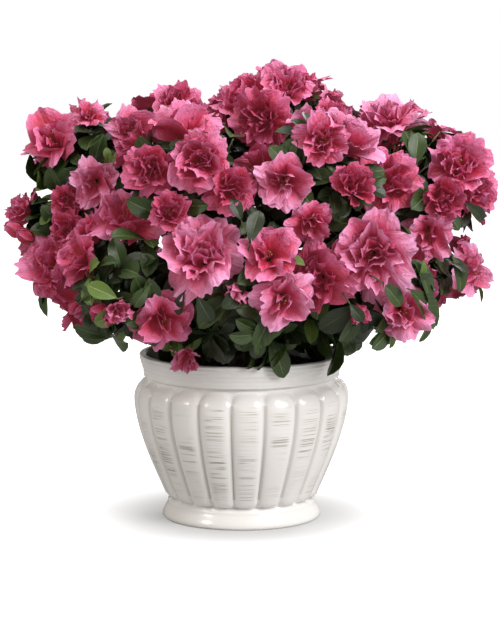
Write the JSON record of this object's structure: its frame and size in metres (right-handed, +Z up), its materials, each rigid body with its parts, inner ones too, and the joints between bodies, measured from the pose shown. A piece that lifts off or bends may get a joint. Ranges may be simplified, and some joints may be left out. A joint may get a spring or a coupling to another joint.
{
  "type": "potted azalea shrub",
  "caption": "Compact flowering azalea shrub with double pink blooms, growing from a short trunk in a round white gadrooned ceramic pot",
  "frame": {"origin": "centre of the pot's flat underside", "axes": "+Z up out of the pot, -Y the front of the shrub, +X to its right"},
  "size_m": [0.4783, 0.4485, 0.4491],
  "materials": {
    "glaze": "warm white gloss glaze with faint throwing lines",
    "potting_mix": "dark, coarse, crumbly peat",
    "bark": "matte grey-brown bark",
    "foliage": "soft matte petals over green leaves"
  },
  "bodies": {
    "root": {"pot": "glaze", "potting_mix": "potting_mix", "trunk": "bark", "bough_low_right": "bark", "foliage_low_right": "foliage", "bough_low_front_right": "bark", "foliage_low_front_right": "foliage", "bough_low_front": "bark", "foliage_low_front": "foliage", "bough_low_front_left": "bark", "foliage_low_front_left": "foliage", "bough_low_left": "bark", "foliage_low_left": "foliage", "bough_low_back_left": "bark", "foliage_low_back_left": "foliage", "bough_low_back": "bark", "foliage_low_back": "foliage", "bough_low_back_right": "bark", "foliage_low_back_right": "foliage", "bough_upper_right": "bark", "foliage_upper_right": "foliage", "bough_upper_front_right": "bark", "foliage_upper_front_right": "foliage", "bough_upper_front_left": "bark", "foliage_upper_front_left": "foliage", "bough_upper_left": "bark", "foliage_upper_left": "foliage", "bough_upper_back_left": "bark", "foliage_upper_back_left": "foliage", "bough_upper_back": "bark", "foliage_upper_back": "foliage", "bough_upper_back_right": "bark", "foliage_upper_back_right": "foliage", "bough_top_left": "bark", "foliage_top_left": "foliage", "bough_top_right": "bark", "foliage_top_right": "foliage", "bough_top_back": "bark", "foliage_top_back": "foliage"}
  },
  "joints": []
}
